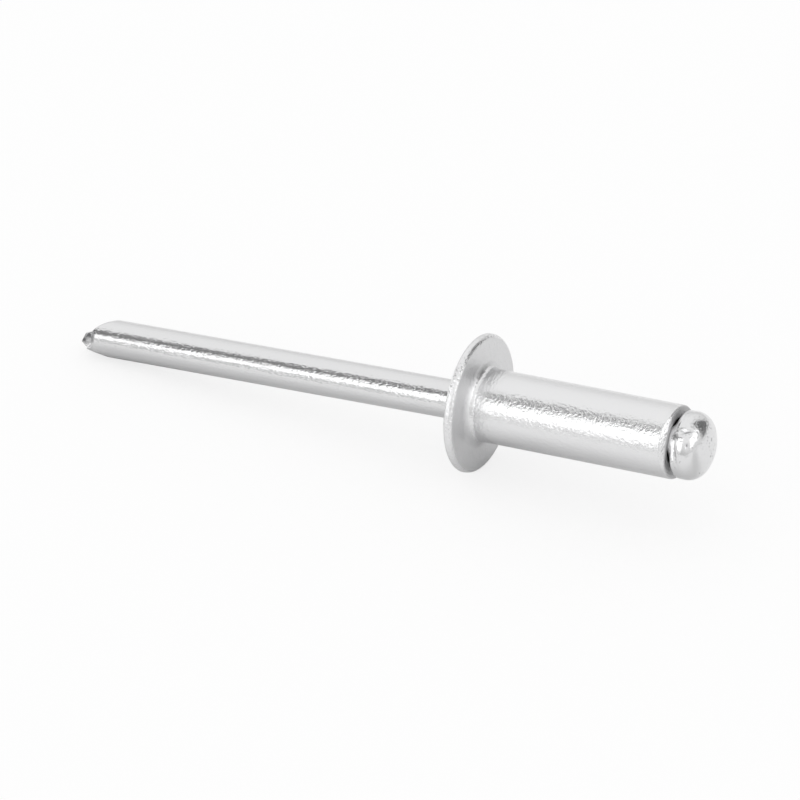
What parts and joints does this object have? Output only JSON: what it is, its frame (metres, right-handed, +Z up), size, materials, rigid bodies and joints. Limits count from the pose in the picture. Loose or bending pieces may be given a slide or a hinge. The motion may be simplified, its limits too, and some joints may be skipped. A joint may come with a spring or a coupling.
{
  "type": "blind rivet",
  "caption": "Unset blind rivet with a domed flange, a plain sleeve and a headed mandrel with a pinched point, lying on its side.",
  "frame": {"origin": "centre of the flange's underside, where the sleeve's axis meets the face that seats on the sheet", "axes": "+X runs towards the mandrel's head with the sleeve's axis 5.5 degrees above it, +Z is up, and the rivet lies on its flange rim and the tail of its mandrel"},
  "size_m": [0.046, 0.009, 0.0091],
  "materials": {
    "sleeve_metal": "bright, as tumbled, with a fine orange peel",
    "mandrel_metal": "bright drawn wire, with streaks along its length"
  },
  "bodies": {
    "root": {"rivet_body": "sleeve_metal", "mandrel": "mandrel_metal"}
  },
  "joints": []
}
